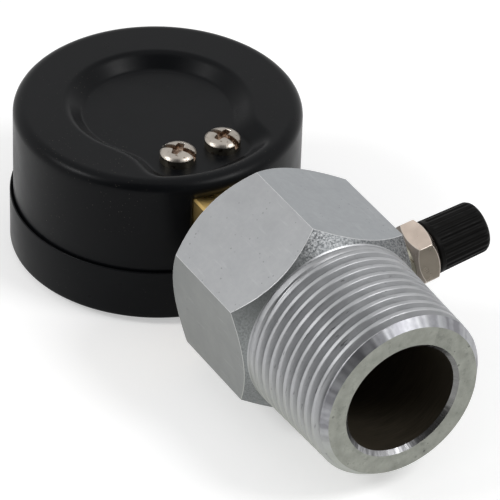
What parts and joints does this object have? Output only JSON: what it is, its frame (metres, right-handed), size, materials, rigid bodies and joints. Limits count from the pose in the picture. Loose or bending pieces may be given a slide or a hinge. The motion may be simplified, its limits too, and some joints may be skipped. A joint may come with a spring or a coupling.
{
  "type": "pressure test gauge assembly",
  "caption": "Dial gauge screwed into a plated hexagon adapter with a taper pipe thread and a side tank valve with a dust cap, for pressure testing pipework.",
  "frame": {"origin": "centre of the threaded end face, on the thread axis", "axes": "+X points out of the thread along its axis, +Z points to the back of the gauge, so the dial faces -Z"},
  "size_m": [0.1121, 0.063, 0.04],
  "materials": {
    "plated_steel": "satin zinc-nickel plating on machined steel",
    "nickel_plate": "warm nickel plating on brass",
    "black_paint": "semi-gloss black enamel on pressed steel",
    "brass": "machined brass",
    "bronze": "drawn phosphor bronze",
    "clear_window": "clear moulded window",
    "black_rubber": "moulded rubber",
    "white_dial": "white enamel on aluminium",
    "black_pointer": "black enamel on aluminium",
    "spring_steel": "drawn spring wire",
    "white_seal": "fluoropolymer ring",
    "cap_plastic": "moulded black plastic"
  },
  "bodies": {
    "assembly": {"bezel_ring": "black_paint", "bourdon_tube": "bronze", "case": "black_paint", "case_screws": "nickel_plate", "core_barrel": "brass", "core_gasket": "white_seal", "core_spring": "spring_steel", "dial_plate": "white_dial", "dial_screws": "nickel_plate", "hairspring": "bronze", "hex_body": "plated_steel", "lower_plate": "brass", "movement_screws": "nickel_plate", "pillars": "brass", "plate_screws": "nickel_plate", "restrictor_screw": "brass", "socket": "brass", "upper_plate": "brass", "valve_body": "nickel_plate", "window": "clear_window", "window_gasket": "black_rubber"},
    "sector": {"sector_gear": "brass"},
    "pointer": {"pointer": "black_pointer", "pinion": "brass"},
    "link": {"link": "brass"},
    "tube_tip": {"tube_tip": "brass"},
    "valve_core": {"core_pin": "brass", "core_seal": "black_rubber"},
    "cap_seal": {"cap_seal": "black_rubber"},
    "cap": {"dust_cap": "cap_plastic"}
  },
  "joints": [
    {"name": "sector_turn", "type": "hinge", "parent": "assembly", "child": "sector", "pos_m": [-0.08314, -0.01064, 0], "axis": [0, 0, 1], "range_deg": [-33.75, 0], "stiffness_Nm_per_rad": 0.005},
    {"name": "pointer_turn", "type": "hinge", "parent": "assembly", "child": "pointer", "pos_m": [-0.085, 0, 0], "axis": [0, 0, 1], "range_deg": [0, 270]},
    {"name": "link_turn", "type": "hinge", "parent": "sector", "child": "link", "pos_m": [-0.08088, -0.0151, 0], "axis": [0, 0, 1], "range_deg": [0, 33.75]},
    {"name": "tip_travel", "type": "slide", "parent": "assembly", "child": "tube_tip", "axis": [-0.985, -0.1724, 0], "range_m": [0, 0.0029], "deforming": ["bourdon_tube"]},
    {"name": "core_push", "type": "slide", "parent": "assembly", "child": "valve_core", "axis": [0, -0.9914, -0.1305], "range_m": [0, 0.0012], "stiffness_N_per_m": 300, "springref_m": -0.001, "deforming": ["core_spring"]},
    {"name": "cap_turn", "type": "hinge", "parent": "cap_seal", "child": "cap", "pos_m": [-0.0315, 0.02459, 0.00324], "axis": [0, 0.9914, 0.1305], "range_deg": [0, 2160.01]},
    {"name": "cap_lift", "type": "slide", "parent": "assembly", "child": "cap_seal", "axis": [0, 0.9914, 0.1305], "range_m": [0, 0.00476]}
  ],
  "couplings": [
    {"joint": "pointer_turn", "follows": "sector_turn", "ratio": -8},
    {"joint": "link_turn", "follows": "sector_turn", "ratio": -1},
    {"joint": "tip_travel", "follows": "sector_turn", "m_per_rad": -0.004928},
    {"joint": "cap_turn", "follows": "cap_lift", "rad_per_m": 7915.8}
  ]
}
